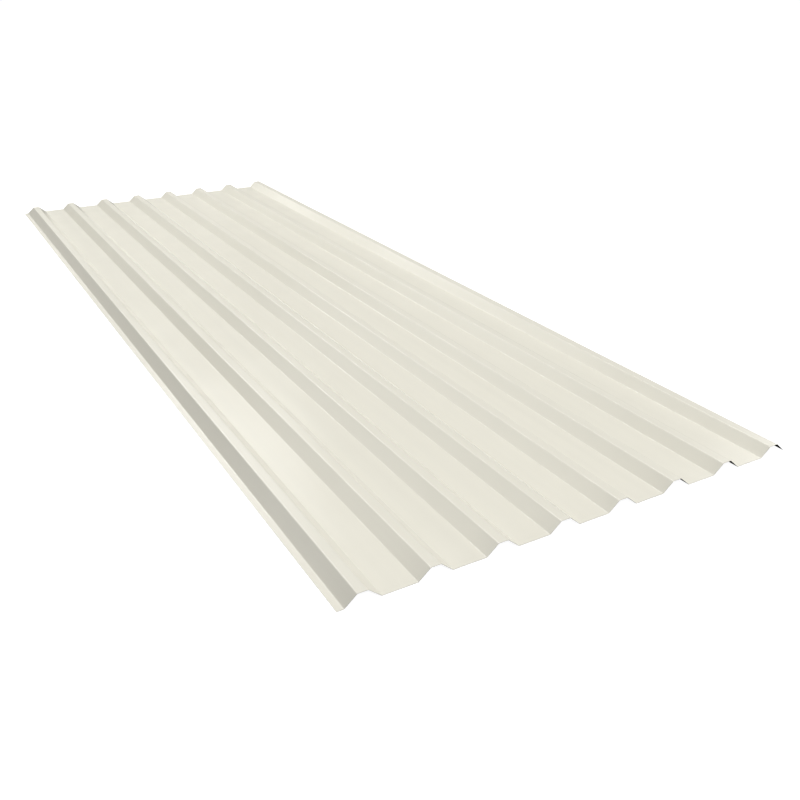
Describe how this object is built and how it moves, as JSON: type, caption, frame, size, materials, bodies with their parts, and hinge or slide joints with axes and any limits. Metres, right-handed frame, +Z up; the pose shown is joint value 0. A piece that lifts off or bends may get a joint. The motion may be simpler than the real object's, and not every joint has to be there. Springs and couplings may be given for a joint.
{
  "type": "corrugated metal sheet",
  "caption": "Trapezoidal corrugated roofing sheet rolled from thin cream-painted steel, with a flat lip along one long edge and an open rib along the other that laps over the next sheet.",
  "frame": {"origin": "on the floor, under the middle of the sheet's box", "axes": "+Y along the ribs, +X across them from the flat lip to the open rib, +Z up out of the pans towards the crests"},
  "size_m": [1.093, 3.05, 0.0225],
  "materials": {
    "painted_steel": "cream coil paint, satin, on galvanised steel"
  },
  "bodies": {
    "root": {"corrugated_sheet": "painted_steel"}
  },
  "joints": []
}
